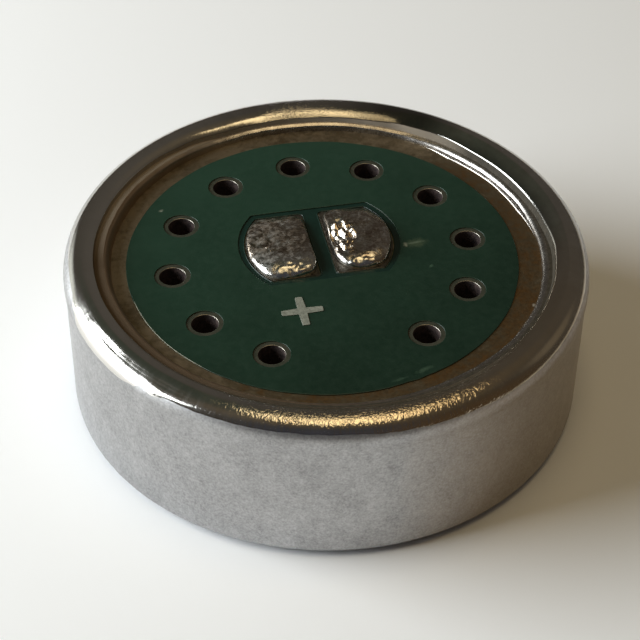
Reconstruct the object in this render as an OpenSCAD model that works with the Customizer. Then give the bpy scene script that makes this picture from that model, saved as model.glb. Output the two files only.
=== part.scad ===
// Cardioid electret microphone capsule, standing on its front face with the circuit board up.
// Origin at the middle of the front cloth's lower face, +Z towards the rear, X and Y along the board.

/* [Case] */
// Outer diameter of the case at its crimped rim
case_od = 16; // [15:0.1:20]
// Height of the case from its front face to the crest of the rim
case_h = 5.07; // [4.6:0.01:8]
// Thickness of the aluminium sheet
sheet_t = 0.3; // [0.2:0.05:0.4]
// Step from the rim's widest point in to the straight wall
rim_step = 0.04; // [0.02:0.01:0.1]
// Outer bend radius of the crimped rim
rim_bend_r = 0.65; // [0.55:0.01:0.8]
// Height of the shoulder that runs from the wall out to the rim
rim_shoulder_h = 0.4; // [0.2:0.05:0.8]
// Height of the rim's crest above the face of the circuit board
rim_rise = 0.53; // [0.5:0.01:0.7]
// Width of the slope inside the crest, down to the rolled edge
roll_w = 0.45; // [0.4:0.01:0.5]
// Drop of that slope
roll_drop = 0.16; // [0.1:0.01:0.2]
// Radius of the rolled edge
roll_edge_r = 0.05; // [0.03:0.01:0.06]
// Width of the lip inside the rolled edge
lip_w = 0.25; // [0.15:0.01:0.3]
// Thickness of the lip where it is pressed down on the circuit board
lip_t = 0.18; // [0.14:0.01:0.22]
// Radius of the corner between the front face and the wall
front_corner_r = 0.2; // [0.05:0.05:0.25]
// Diameter of the sound holes in the front face
front_hole_d = 1.2; // [0.6:0.1:1.6]
// Diameter of the circle of sound holes round the middle one
front_hole_ring_d = 7; // [5:0.1:9]
// Number of sound holes on that circle
front_hole_count = 6; // [3:1:10]

/* [Front cloth] */
// Distance from the case's outside in to the edge of the cloth on the front face
felt_inset = 0.45; // [0.35:0.05:1]
// Thickness of that cloth
felt_t = 0.18; // [0.1:0.01:0.4]
// How far off the middle the cloth was stuck on
felt_shift_y = -0.18; // [-0.25:0.01:0.25]

/* [Diaphragm and electret] */
// Thickness of the ring that the diaphragm is stretched on
diaphragm_ring_t = 0.3; // [0.2:0.05:0.5]
// Radial width of that ring
diaphragm_ring_w = 1.25; // [1.15:0.05:1.5]
// Thickness of the diaphragm, thickened so that it is a true solid
diaphragm_t = 0.02; // [0.02:0.01:0.05]
// Thickness of the spacer between the diaphragm and the electret
spacer_t = 0.05; // [0.03:0.01:0.1]
// Thickness of the electret film on the back plate
electret_t = 0.03; // [0.02:0.01:0.05]
// Thickness of the back plate
plate_t = 0.4; // [0.3:0.05:0.6]
// Diameter of the holes in the back plate
plate_hole_d = 1; // [0.6:0.1:1.4]
// Diameter of the circle of those holes
plate_hole_ring_d = 6.4; // [5:0.1:7.5]
// Number of holes on that circle
plate_hole_count = 8; // [4:1:10]

/* [Chamber] */
// Radial thickness of the insulating chamber
chamber_wall = 1.6; // [1.45:0.05:1.7]
// Radial width of the chamber's rim outside the back plate
chamber_rim_w = 0.9; // [0.6:0.05:1]
// Clearance between pieces that drop into each other
seat_gap = 0.06; // [0.03:0.01:0.08]
// Radial gap between the chamber and the gate ring
gate_ring_gap = 0.34; // [0.32:0.01:0.4]
// Sheet thickness of the gate ring
gate_ring_t = 0.2; // [0.15:0.05:0.25]
// Width of the gate ring's foot on the back plate
gate_foot_w = 0.6; // [0.4:0.05:0.8]
// Thickness of the damping cloth behind the back plate
damping_t = 0.3; // [0.2:0.05:0.5]
// Thickness of the cloth behind the rear sound holes
port_cloth_t = 0.15; // [0.1:0.05:0.3]
// Radial width of that cloth
port_cloth_w = 1.2; // [1:0.05:1.2]

/* [Circuit board] */
// Thickness of the board's laminate
board_t = 0.8; // [0.6:0.1:1]
// Gap round the board inside the case
board_gap = 0.2; // [0.16:0.01:0.25]
// How far off the case's axis the board was crimped, to the right
board_shift_x = -0.14; // [-0.14:0.01:0.14]
// How far off the case's axis the board was crimped, to the back
board_shift_y = 0.03; // [-0.05:0.01:0.05]
// Thickness of the copper layers
copper_t = 0.04; // [0.03:0.005:0.05]
// Thickness of the solder mask over the copper
mask_t = 0.03; // [0.025:0.005:0.04]
// How far the mask sinks in the channel round the terminals
channel_depth = 0.015; // [0.01:0.001:0.02]
// Width of the bare copper ring between the lip and the mask
bare_ring_w = 0.63; // [0.55:0.01:0.9]
// Width of the laminate left bare at the board's edge
board_edge_w = 0.15; // [0.1:0.01:0.2]

/* [Rear sound holes] */
// Inner diameter of the plated sound holes
port_d = 0.8; // [0.6:0.05:0.9]
// Thickness of the plating in the holes
plating_t = 0.05; // [0.03:0.01:0.08]
// Width of the bare land round each hole
port_land_w = 0.15; // [0.1:0.01:0.2]
// Distance from the mask's edge in to the circle of holes
port_inset = 1.35; // [1.2:0.05:1.4]
// Number of places on the circle; the one at the front has no hole
port_places = 12; // [8:1:14]

/* [Terminals] */
// Place of the terminals' middle, to the right
terminal_x = 0.06; // [-0.2:0.01:0.2]
// Place of the terminals' middle, to the back
terminal_y = 0.69; // [0.5:0.01:0.8]
// Diameter of the circle that rounds the terminals' outer sides
terminal_d = 4.56; // [4.4:0.02:4.8]
// Length of the terminals from front to back
terminal_h = 2.98; // [2.6:0.02:3.1]
// Gap between the two terminals
terminal_gap = 0.53; // [0.45:0.01:0.7]
// Width of the channel in the copper round the terminals
channel_w = 0.22; // [0.2:0.01:0.3]
// Gap between the mask and the terminals
mask_gap = 0.07; // [0.04:0.01:0.1]
// Width of the bridge from the earth terminal to the copper round it
bridge_w = 0.24; // [0.2:0.01:0.4]
// Distance of that bridge in front of the terminals' middle
bridge_drop = 0.58; // [0.3:0.01:0.7]
// Height of the solder on each terminal
solder_h = 0.42; // [0.2:0.01:0.5]
// Edge of each terminal that the solder leaves free
solder_margin = 0.04; // [0.02:0.01:0.1]
// Diameter of the plated hole under each terminal
via_d = 0.5; // [0.3:0.05:0.6]

/* [Polarity mark] */
// Length of the arms of the plus sign
mark_size = 1.25; // [1:0.05:1.4]
// Width of its stroke
mark_stroke = 0.26; // [0.2:0.01:0.35]
// Distance from the terminal's edge to the middle of the sign
mark_drop = 1.54; // [1.3:0.01:1.6]
// How far the sign stands right of the terminal's middle
mark_shift = 0.14; // [-0.2:0.01:0.2]
// Thickness of the printed ink
mark_t = 0.02; // [0.01:0.005:0.03]

/* [Transistor] */
// Length of the transistor's body
fet_l = 2.9; // [2.6:0.1:3]
// Width of its body
fet_w = 1.3; // [1.1:0.05:1.4]
// Height of its body
fet_h = 0.95; // [0.7:0.05:1.1]
// Gap between its body and the copper
fet_lift = 0.05; // [0.03:0.01:0.1]
// Place of its middle, in front of the board's middle
fet_drop = 0.75; // [0.7:0.05:0.9]
// Distance between the two leads on one side
lead_pitch = 1.9; // [1.8:0.05:2]
// Width of a lead
lead_w = 0.4; // [0.3:0.05:0.5]
// Thickness of a lead
lead_t = 0.12; // [0.1:0.01:0.15]
// Distance that a lead runs out of the body before it bends
lead_out = 0.2; // [0.15:0.01:0.25]
// Length of a lead's foot past its bend
lead_foot = 0.28; // [0.2:0.01:0.35]

/* [Capacitors] */
// Length of a chip capacitor
cap_l = 1.6; // [1.5:0.05:1.7]
// Width of a chip capacitor
cap_w = 0.8; // [0.6:0.05:0.85]
// Height of a chip capacitor
cap_h = 0.8; // [0.5:0.05:0.9]
// Length of its metal end
cap_end = 0.3; // [0.2:0.05:0.35]
// Distance between the two capacitors
cap_pitch = 1; // [0.95:0.05:1.1]

/* [Hidden] */
$fn = 96;

// Overlap of a cutting shape past the face that it cuts
cut = 0.5;

// Radii, from the outside in
case_r = case_od / 2;
wall_r = case_r - rim_step;
bore_r = wall_r - sheet_t;
rim_center_r = case_r - rim_bend_r;
roll_r = rim_center_r - roll_w;
roll_tilt = atan(2 * roll_drop / roll_w);
flank_angle = 75;
flank_r = roll_r + roll_edge_r * (sin(roll_tilt) - sin(flank_angle));
flank_drop = roll_drop + roll_edge_r * (cos(roll_tilt) - cos(flank_angle));
lip_foot_r = flank_r - (rim_rise + mask_t - lip_t - flank_drop) / tan(flank_angle);
lip_r = lip_foot_r - lip_w;
drop_in_r = bore_r - seat_gap;
felt_r = case_r - felt_inset;
board_r = bore_r - board_gap;
plane_r = board_r - board_edge_w;
mask_r = lip_r - bare_ring_w;
port_ring_r = mask_r - port_inset;
port_r = port_d / 2;
port_land_r = port_r + port_land_w;
chamber_bore_r = drop_in_r - chamber_wall;
plate_r = drop_in_r - chamber_rim_w - seat_gap;
gate_ring_r = chamber_bore_r - gate_ring_gap;
gate_foot_r = gate_ring_r - gate_foot_w;
track_margin = norm([board_shift_x, board_shift_y]) + 0.02;
port_cloth_r = port_ring_r + port_cloth_w / 2;
via_r = via_d / 2;

// Heights, from the front up
z_case = felt_t;
z_floor = z_case + sheet_t;
z_diaphragm = z_floor + diaphragm_ring_t;
z_spacer = z_diaphragm + diaphragm_t;
z_electret = z_spacer + spacer_t;
z_plate = z_electret + electret_t;
z_plate_rear = z_plate + plate_t;
z_crest = z_case + case_h;
z_rim_center = z_crest - rim_bend_r;
z_face = z_crest - rim_rise;
z_copper = z_face - mask_t;
z_laminate = z_copper - copper_t;
z_under = z_laminate - board_t;
z_inner = z_under - copper_t;
z_lip = z_copper + lip_t;

// Terminals: their edges, and the middle of each
pad_front = terminal_y - terminal_h / 2;
pad_reach = terminal_d / 2;
pad_mid = (pad_reach + terminal_gap / 2) / 2;

// Copper inside the capsule: the transistor's lands and the plane that joins the sound holes
land_gap = 0.8;
land_out = 1.75;
land_front = 0.05;
foot_start = fet_w / 2 + lead_out + lead_t;
foot_end = foot_start + lead_foot;
cap_first_y = foot_end - fet_drop + cap_w / 2 + 0.25;
land_back = cap_first_y + cap_pitch + cap_w / 2 + 0.1;
gate_land_w = lead_w + 0.4;
inner_plane_w = 2 * port_land_r + 0.2;
spoke_w = 0.4;
spoke_gap = 0.3;

// Points of an arc from one angle to another
function arc_points(center_r, center_z, radius, from, to, steps) =
    [for (i = [0:steps]) let (a = from + (to - from) * i / steps)
        [center_r + radius * cos(a), center_z + radius * sin(a)]];

// Angles of the places that have a rear sound hole: the front one, at 270 degrees, is left out
function port_angles() = [for (i = [1:port_places - 1]) 270 + i * 360 / port_places];

// Everything on the circuit board sits off the case's axis by the same amount
module on_board() {
    translate([board_shift_x, board_shift_y, 0]) children();
}

// A flat ring or disc
module ring(outer_r, inner_r, z, t) {
    translate([0, 0, z]) difference() {
        cylinder(r = outer_r, h = t);
        if (inner_r > 0) translate([0, 0, -cut]) cylinder(r = inner_r, h = t + 2 * cut);
    }
}

// Straight holes round a circle
module hole_circle(angles, ring_r, hole_r, z, t) {
    for (a = angles) rotate([0, 0, a]) translate([ring_r, 0, z]) cylinder(r = hole_r, h = t, $fn = 48);
}

// Even angles round a full circle
function even_angles(count) = [for (i = [0:count - 1]) i * 360 / count];

// Slope that gets steeper from the crest to the rolled edge
function slope_points(steps) =
    [for (i = [1:steps]) let (t = i / steps) [rim_center_r - roll_w * t, z_crest - roll_drop * t * t]];

// Rounded nose of the lip, down to its foot on the copper
function nose_points(width, steps) =
    [for (i = [0:steps]) let (a = 90 * i / steps) [lip_r + width * (1 - sin(a)), z_copper + lip_t * cos(a)]];

// Section of the case: front face, wall, rolled rim and the lip that presses on the board
module case_section() {
    under_r = rim_bend_r - sheet_t;
    under_foot = asin((z_copper - z_rim_center) / under_r);
    polygon(concat(
        [[0, z_case]],
        arc_points(wall_r - front_corner_r, z_case + front_corner_r, front_corner_r, -90, 0, 6),
        [[wall_r, z_rim_center - rim_shoulder_h]],
        arc_points(rim_center_r, z_rim_center, rim_bend_r, 0, 90, 14),
        slope_points(8),
        arc_points(roll_r + roll_edge_r * sin(roll_tilt), z_crest - roll_drop - roll_edge_r * cos(roll_tilt),
            roll_edge_r, 90 + roll_tilt + 15, 90 + flank_angle, 3),
        [[lip_foot_r, z_lip]],
        nose_points(0.8 * lip_w, 6),
        arc_points(rim_center_r, z_rim_center, under_r, 180 - under_foot, 0, 14),
        [[bore_r, z_rim_center - rim_shoulder_h], [bore_r, z_floor], [0, z_floor]]
    ));
}

module case() {
    color("silver") difference() {
        rotate_extrude() case_section();
        translate([0, 0, z_case - cut]) cylinder(d = front_hole_d, h = sheet_t + 2 * cut, $fn = 48);
        hole_circle(even_angles(front_hole_count), front_hole_ring_d / 2, front_hole_d / 2,
            z_case - cut, sheet_t + 2 * cut);
    }
}

module front_felt() {
    color([0.08, 0.08, 0.08]) translate([0, felt_shift_y, 0]) cylinder(r = felt_r, h = felt_t);
}

module diaphragm_ring() {
    color("goldenrod") ring(drop_in_r, drop_in_r - diaphragm_ring_w, z_floor, diaphragm_ring_t);
}

module diaphragm() {
    color([0.75, 0.72, 0.6]) ring(drop_in_r - seat_gap, 0, z_diaphragm, diaphragm_t);
}

module spacer() {
    color([0.8, 0.6, 0.25]) ring(drop_in_r - seat_gap, drop_in_r - diaphragm_ring_w, z_spacer, spacer_t);
}

// The back plate's round of sound holes, through whatever lies on it
module plate_holes(z, t) {
    translate([0, 0, z]) cylinder(d = plate_hole_d, h = t, $fn = 48);
    hole_circle(even_angles(plate_hole_count), plate_hole_ring_d / 2, plate_hole_d / 2, z, t);
}

module electret_film() {
    color([0.85, 0.85, 0.8]) difference() {
        ring(plate_r, 0, z_electret, electret_t);
        plate_holes(z_electret - cut, electret_t + 2 * cut);
    }
}

module backplate() {
    color([0.8, 0.65, 0.3]) difference() {
        ring(plate_r, 0, z_plate, plate_t);
        plate_holes(z_plate - cut, plate_t + 2 * cut);
    }
}

// Insulating ring with a seat for the back plate at its front
module chamber() {
    color([0.15, 0.15, 0.16]) difference() {
        ring(drop_in_r, chamber_bore_r, z_electret, z_under - z_electret);
        ring(plate_r + seat_gap, 0, z_electret - cut, z_plate_rear - z_electret + cut);
    }
}

module damping_disc() {
    color([0.85, 0.83, 0.78]) ring(gate_foot_r - seat_gap, 0, z_plate_rear, damping_t);
}

// Drawn ring that carries the back plate's signal up to the board
module gate_ring() {
    color([0.78, 0.68, 0.4]) difference() {
        ring(gate_ring_r, gate_foot_r, z_plate_rear, z_inner - z_plate_rear);
        ring(gate_ring_r - gate_ring_t, 0, z_plate_rear + gate_ring_t, z_inner - z_plate_rear);
    }
}

module port_cloth() {
    color([0.1, 0.09, 0.09]) on_board()
        ring(port_cloth_r, port_cloth_r - port_cloth_w, z_inner - port_cloth_t, port_cloth_t);
}

// Outline of both terminals and of the channel round them, grown evenly on all sides
module terminal_outline(grow) {
    translate([terminal_x, terminal_y]) intersection() {
        circle(r = pad_reach + grow);
        square([terminal_d + 4 * grow + cut, terminal_h + 2 * grow], center = true);
    }
}

// Outline of one terminal: side is -1 for the left one and 1 for the right one
module pad_outline(side, grow) {
    intersection() {
        terminal_outline(grow);
        translate([terminal_x + side * (terminal_gap / 2 - grow + terminal_d / 2), terminal_y])
            square([terminal_d, terminal_d], center = true);
    }
}

// Outline of the bridge that ties the earth terminal to the copper outside the channel
module bridge_outline() {
    translate([terminal_x + pad_reach - cut, terminal_y - bridge_drop - bridge_w / 2])
        square([channel_w + 2 * cut, bridge_w]);
}

// Plated hole under a terminal
module via(side) {
    translate([terminal_x + side * pad_mid, terminal_y, z_inner])
        cylinder(r = via_r, h = z_copper - z_inner, $fn = 48);
}

// One inner land: side is -1 for the positive one and 1 for the earth one
module land(side, reach) {
    translate([side > 0 ? land_gap / 2 : -land_out, land_front, z_inner])
        cube([land_out - land_gap / 2, reach - land_front, copper_t]);
}

module circuit_board() {
    color([0.36, 0.38, 0.24]) on_board() difference() {
        translate([0, 0, z_under]) cylinder(r = board_r, h = board_t);
        hole_circle(port_angles(), port_ring_r, port_r + plating_t, z_under - cut, board_t + 2 * cut);
        via(-1);
        via(1);
    }
}

// Earth: the rear plane, the right terminal, the plated sound holes, and the plane and land inside
module ground_copper() {
    color([0.6, 0.42, 0.28]) on_board() difference() {
        union() {
            translate([0, 0, z_laminate]) linear_extrude(height = copper_t) {
                difference() {
                    circle(r = plane_r);
                    terminal_outline(channel_w);
                }
                pad_outline(1, 0);
                bridge_outline();
            }
            hole_circle(port_angles(), port_ring_r, port_r + plating_t, z_inner, z_copper - z_inner);
            difference() {
                ring(port_ring_r + inner_plane_w / 2, port_ring_r - inner_plane_w / 2, z_inner, copper_t);
                translate([-spoke_w / 2 - spoke_gap, -port_ring_r - inner_plane_w, z_inner - cut])
                    cube([spoke_w + 2 * spoke_gap, 2 * inner_plane_w, copper_t + 2 * cut]);
            }
            land(1, port_ring_r - inner_plane_w / 4);
            via(1);
        }
        hole_circle(port_angles(), port_ring_r, port_r, z_inner - cut, z_copper - z_inner + 2 * cut);
    }
}

module positive_copper() {
    color([0.7, 0.45, 0.28]) on_board() {
        translate([0, 0, z_laminate]) linear_extrude(height = copper_t) pad_outline(-1, 0);
        land(-1, land_back);
        via(-1);
    }
}

// The track that the gate ring presses on, its spoke and the transistor's land
module gate_copper() {
    track_outer_r = chamber_bore_r - track_margin;
    track_inner_r = gate_ring_r - gate_ring_t - track_margin;
    gate_land_end = fet_drop + foot_end + 0.1;
    color([0.72, 0.5, 0.32]) on_board() {
        ring(track_outer_r, track_inner_r, z_inner, copper_t);
        translate([-spoke_w / 2, -track_inner_r - track_margin, z_inner])
            cube([spoke_w, track_inner_r + track_margin - gate_land_end + 0.2, copper_t]);
        translate([-gate_land_w / 2, -gate_land_end, z_inner])
            cube([gate_land_w, lead_foot + 0.3, copper_t]);
    }
}

// Green mask: it lies on the copper, fills the channel and sinks a little there
module solder_mask() {
    color([0.1, 0.25, 0.17]) on_board() difference() {
        union() {
            translate([0, 0, z_copper]) linear_extrude(height = mask_t) difference() {
                circle(r = mask_r);
                pad_outline(-1, mask_gap);
                pad_outline(1, mask_gap);
            }
            translate([0, 0, z_laminate]) linear_extrude(height = copper_t) difference() {
                terminal_outline(channel_w);
                pad_outline(-1, mask_gap);
                pad_outline(1, mask_gap);
                bridge_outline();
            }
        }
        translate([0, 0, z_face - channel_depth]) linear_extrude(height = cut) terminal_outline(channel_w);
        hole_circle(port_angles(), port_ring_r, port_land_r, z_copper - cut, mask_t + 2 * cut);
    }
}

// White plus sign in front of the left terminal
module polarity_mark() {
    color([0.75, 0.76, 0.72]) on_board()
        translate([terminal_x - pad_mid + mark_shift, pad_front - mark_drop, z_face])
            linear_extrude(height = mark_t) {
                square([mark_size, mark_stroke], center = true);
                square([mark_stroke, mark_size], center = true);
            }
}

// Solder that has flowed over one terminal and stands up in a low dome
module solder_dome(side) {
    dome_steps = 5;
    dome_side = pad_reach / 2;
    hull() for (i = [0:dome_steps]) let (a = 90 * i / dome_steps)
        translate([0, 0, z_copper + solder_h * sin(a) * 0.98])
            linear_extrude(height = solder_h * 0.02)
                pad_outline(side, -solder_margin - dome_side * (1 - cos(a)) * 0.7, $fn = 64);
}

module ground_solder() {
    color([0.62, 0.6, 0.56]) on_board() solder_dome(1);
}

module positive_solder() {
    color([0.62, 0.6, 0.56]) on_board() solder_dome(-1);
}

// Moulded body, widest at the middle where the leads come out
module fet_body() {
    draft = 0.06;
    band = lead_t + 0.06;
    half_w = fet_w / 2;
    color([0.12, 0.12, 0.12]) on_board()
        translate([-fet_l / 2, -fet_drop, z_inner - fet_lift - fet_h / 2])
            rotate([90, 0, 90]) linear_extrude(height = fet_l) polygon([
                [-half_w + draft, -fet_h / 2], [half_w - draft, -fet_h / 2],
                [half_w, -band / 2], [half_w, band / 2],
                [half_w - draft, fet_h / 2], [-half_w + draft, fet_h / 2],
                [-half_w, band / 2], [-half_w, -band / 2]]);
}

// One bent lead, from the side of the body to its foot on the copper
module lead() {
    lead_mid = -fet_lift - fet_h / 2;
    start = fet_w / 2;
    bend = start + lead_out;
    translate([-lead_w / 2, 0, z_inner]) rotate([90, 0, 90]) linear_extrude(height = lead_w) polygon([
        [start, lead_mid - lead_t / 2], [bend + lead_t, lead_mid - lead_t / 2],
        [bend + lead_t, -lead_t], [foot_end, -lead_t], [foot_end, 0], [bend, 0],
        [bend, lead_mid + lead_t / 2], [start, lead_mid + lead_t / 2]]);
}

module fet_leads() {
    color([0.8, 0.8, 0.78]) on_board() translate([0, -fet_drop, 0]) {
        for (side = [-1, 1]) translate([side * lead_pitch / 2, 0, 0]) lead();
        rotate([0, 0, 180]) lead();
    }
}

// Ceramic middle of a chip capacitor
module capacitor_middle(index) {
    color([0.72, 0.6, 0.45]) on_board()
        translate([0, cap_first_y + index * cap_pitch, z_inner - cap_h / 2])
            cube([cap_l - 2 * cap_end, cap_w, cap_h], center = true);
}

module capacitor_1() {
    capacitor_middle(0);
}

module capacitor_2() {
    capacitor_middle(1);
}

module capacitor_ends() {
    color([0.82, 0.82, 0.8]) on_board()
        for (index = [0, 1], side = [-1, 1])
            translate([side * (cap_l - cap_end) / 2, cap_first_y + index * cap_pitch, z_inner - cap_h / 2])
                cube([cap_end, cap_w, cap_h], center = true);
}

// Small wedge of solder against a foot or a capacitor's end, which it meets at y = 0
module solder_wedge(width, reach, height) {
    translate([-width / 2, 0, z_inner]) rotate([90, 0, 90]) linear_extrude(height = width)
        polygon([[0, 0], [reach, 0], [0, -height]]);
}

module inner_solder() {
    cap_wedge = 0.15;
    color([0.7, 0.7, 0.68]) on_board() {
        translate([0, -fet_drop, 0]) {
            for (side = [-1, 1]) translate([side * lead_pitch / 2, foot_end, 0])
                solder_wedge(lead_w, lead_t, lead_t);
            rotate([0, 0, 180]) translate([0, foot_end, 0]) solder_wedge(lead_w, 0.09, lead_t);
        }
        for (index = [0, 1], side = [-1, 1])
            translate([side * cap_l / 2, cap_first_y + index * cap_pitch, 0])
                rotate([0, 0, -side * 90]) solder_wedge(cap_w, cap_wedge, cap_h / 2);
    }
}

front_felt();
case();
diaphragm_ring();
diaphragm();
spacer();
electret_film();
backplate();
chamber();
damping_disc();
gate_ring();
port_cloth();
circuit_board();
ground_copper();
positive_copper();
gate_copper();
solder_mask();
polarity_mark();
ground_solder();
positive_solder();
fet_body();
fet_leads();
capacitor_1();
capacitor_2();
capacitor_ends();
inner_solder();
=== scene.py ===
from functools import cached_property, reduce
from math import asin, atan, atan2, cos, degrees, exp, hypot, pi, radians, sin, tan, tau

import bmesh
import bpy
from mathutils import Matrix, Vector, noise


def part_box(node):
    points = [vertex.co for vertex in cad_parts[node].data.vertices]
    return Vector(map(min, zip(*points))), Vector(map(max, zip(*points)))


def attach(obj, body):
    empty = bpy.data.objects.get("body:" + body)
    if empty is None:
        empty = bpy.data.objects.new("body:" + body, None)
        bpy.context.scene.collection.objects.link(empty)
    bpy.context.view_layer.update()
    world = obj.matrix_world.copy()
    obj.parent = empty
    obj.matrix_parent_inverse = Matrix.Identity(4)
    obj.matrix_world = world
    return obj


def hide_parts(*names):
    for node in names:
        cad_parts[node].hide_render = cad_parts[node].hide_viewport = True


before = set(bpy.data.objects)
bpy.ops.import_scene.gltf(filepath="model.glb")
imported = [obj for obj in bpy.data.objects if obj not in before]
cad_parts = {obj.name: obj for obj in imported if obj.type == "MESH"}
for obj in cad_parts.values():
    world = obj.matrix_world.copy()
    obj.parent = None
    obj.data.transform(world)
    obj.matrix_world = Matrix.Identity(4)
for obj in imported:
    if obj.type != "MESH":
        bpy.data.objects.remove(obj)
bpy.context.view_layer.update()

# Every length below is in millimetres. Meshes are scaled to metres when they are made.
MM = 0.001


def box_mm(node):
    """Lowest and highest corner of a CAD node, in millimetres."""
    low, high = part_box(node)
    return low / MM, high / MM


# Places and sizes read from the frame
case_low, case_high = box_mm("case")
mask_low, mask_high = box_mm("solder_mask")
copper_low, copper_high = box_mm("ground_copper")
laminate_low, laminate_high = box_mm("circuit_board")
mark_low, mark_high = box_mm("polarity_mark")
felt_low, felt_high = box_mm("front_felt")
CASE_R = case_high.x
Z_CASE = case_low.z
Z_CREST = case_high.z
Z_FACE = mask_high.z
Z_COPPER = copper_high.z
Z_LAMINATE = laminate_high.z
Z_UNDER = laminate_low.z
Z_INNER = copper_low.z
BOARD = Vector(((mask_low.x + mask_high.x) / 2, (mask_low.y + mask_high.y) / 2))
PLANE_R = (copper_high.x - copper_low.x) / 2
FELT_R = (felt_high.x - felt_low.x) / 2

# Case, with the values of the part's source. Heights named _H are above the board's face
SHEET_T = 0.3
WALL_R = CASE_R - 0.04
OUTER_BEND_R = 0.65
CREST_R = CASE_R - OUTER_BEND_R
CREST_H = 0.53
TOE_R = 0.045
SHOULDER_H = 0.4
CORNER_R = 0.2
FRONT_HOLE_R = 0.6
FRONT_RING_R = 3.5
Z_BEND = Z_FACE + CREST_H - OUTER_BEND_R
# The lip's foot, a hair above the copper that it is pressed on
Z_FOOT = Z_COPPER + 0.001

# How the hand-worked rim varies round the case, in degrees from the camera's right.
# Radius and height of the crease at which its inner slope ends, and the crease's own radius
CREASE_ROUND = (
    (0, 7.03), (15, 6.93), (30, 6.88), (45, 6.85), (57, 6.90), (68, 6.86), (78, 6.77), (118, 6.77),
    (132, 6.92), (145, 7.0), (165, 7.05), (190, 7.10), (225, 7.05), (270, 6.98), (315, 6.95), (340, 6.98),
    (352, 7.02))
CREASE_H_ROUND = (
    (0, 0.41), (30, 0.40), (45, 0.39), (57, 0.415), (68, 0.40), (78, 0.365), (118, 0.365), (132, 0.40),
    (145, 0.44), (165, 0.465), (190, 0.485), (225, 0.46), (270, 0.42), (315, 0.40), (340, 0.40))
CREASE_EDGE_ROUND = ((0, 0.16), (20, 0.12), (56, 0.075), (72, 0.045), (290, 0.045), (325, 0.09), (345, 0.15))
# How rounded the inner slope is: 1 is straight
SLOPE_ROUND = ((0, 1.05), (66, 1.05), (80, 2.5), (118, 2.5), (200, 1.9), (270, 1.7), (320, 1.3))
# Height of the lip's nose over the copper
NOSE_ROUND = (
    (0, 0.15), (60, 0.17), (78, 0.24), (118, 0.24), (140, 0.32), (165, 0.37), (195, 0.38), (222, 0.30),
    (240, 0.27), (300, 0.17), (330, 0.15))
# Share of the lip's end that is a sloping top with a short drop, not one round nose, and how it slopes
NOSE_FLAT_ROUND = ((0, 0.0), (60, 0.0), (76, 1.0), (130, 1.0), (165, 0.4), (190, 0.0), (330, 0.0))
NOSE_DIP = 0.5
NOSE_W = 0.2
NOSE_DROP_W = 0.03
# Radius at which the lip meets the copper, and where a small toe runs along it
CONTACT_ROUND = (
    (0, 6.57), (45, 6.56), (90, 6.56), (150, 6.57), (225, 6.54), (255, 6.47), (285, 6.45), (300, 6.43),
    (315, 6.47), (330, 6.53), (345, 6.56))
TOE_ROUND = ((0, 0.0), (8, 0.0), (22, 1.0), (52, 1.0), (63, 0.0))
# Height over the board's face at which the satin wall turns into the burnished rim
BURNISH_ROUND = (
    (0, 0.30), (90, 0.16), (160, 0.12), (172, 0.20), (180, 0.30), (190, 0.35), (196, 0.33), (201, 0.16),
    (205, -0.02), (222, -0.03), (227, 0.05), (229, 0.2), (232, 0.12), (236, 0.23), (245, 0.24), (272, 0.24),
    (285, 0.19), (300, 0.16), (315, 0.16), (340, 0.24))
# How far the outer bend is pressed in, and the degrees of its turn over which that grows and fades
PRESS_ROUND = ((0, 0.0), (192, 0.0), (207, 0.031), (234, 0.031), (252, 0.0))
PRESS_START = 38
PRESS_GROWS = 19
PRESS_FADES = 24

# Board: sound holes and terminals, in the board's own frame
PORT_RING_R = 4.6
PORT_R = 0.4
PORT_LAND_R = PORT_R + 0.15
PLATING_T = 0.05
PORT_BORE_R = PORT_R + PLATING_T
PORT_LIP = 0.018
TERMINAL = Vector((0.06, 0.69))
PAD_REACH = 2.28
PAD_H = 2.98
PAD_GAP = 0.53
PAD_CORNER_R = 0.12
CHANNEL_W = 0.22
CHANNEL_DEPTH = 0.03
MASK_GAP = 0.025
BRIDGE_W = 0.24
BRIDGE_DROP = 0.58
# How much deeper than the copper's face the bridge lies
BRIDGE_SUNK = 0.015
MARK_STROKE = 0.13
# The mask's printed edge: its radius and how far it lies off the board's middle
MASK_EDGE_R = 5.96
MASK_EDGE_OFF = (0.01, -0.07)
# The ragged stretch of that edge: its middle and reach in degrees, and its depth
RAGGED_AT = 286
RAGGED_REACH = 9
RAGGED_DEPTH = 0.06
# The lifted stretch of that edge, pale as a painted highlight: start and length in the camera's degrees, and
# its thickness
LIFTED_START = 190
LIFTED_LENGTH = 64
LIFTED_R = 0.014

# Scrapes and specks on the lacquer: place and half axes in the part's frame, turn, colour
MASK_MARKS = (
    ((2.84, 0.12), (0.42, 0.24), 2, (0.042, 0.064, 0.036)),
    ((2.82, 0.16), (0.34, 0.06), 3, (0.085, 0.115, 0.075)),
    ((2.51, 0.10), (0.07, 0.12), 0, (0.16, 0.17, 0.12)),
    ((-4.635, 3.193), (0.09, 0.07), 20, (0.16, 0.18, 0.14)),
    ((3.03, -1.03), (0.10, 0.06), 40, (0.035, 0.070, 0.045)),
    ((1.75, -5.42), (0.34, 0.10), 20, (0.030, 0.058, 0.036)),
    ((0.92, -5.70), (0.30, 0.06), 12, (0.024, 0.050, 0.032)),
)

# The photograph's camera, fitted to the outline and the circle of sound holes
CAMERA_AZIMUTH = radians(-12.213)
CAMERA_ELEVATION = radians(41.848)
CAMERA_ROLL = 0.0129
CAMERA_DISTANCE = 57.553
CAMERA_SIDE = -0.174
CAMERA_UP = -1.927
SENSOR = 36.0
LENS = 106.05

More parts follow.
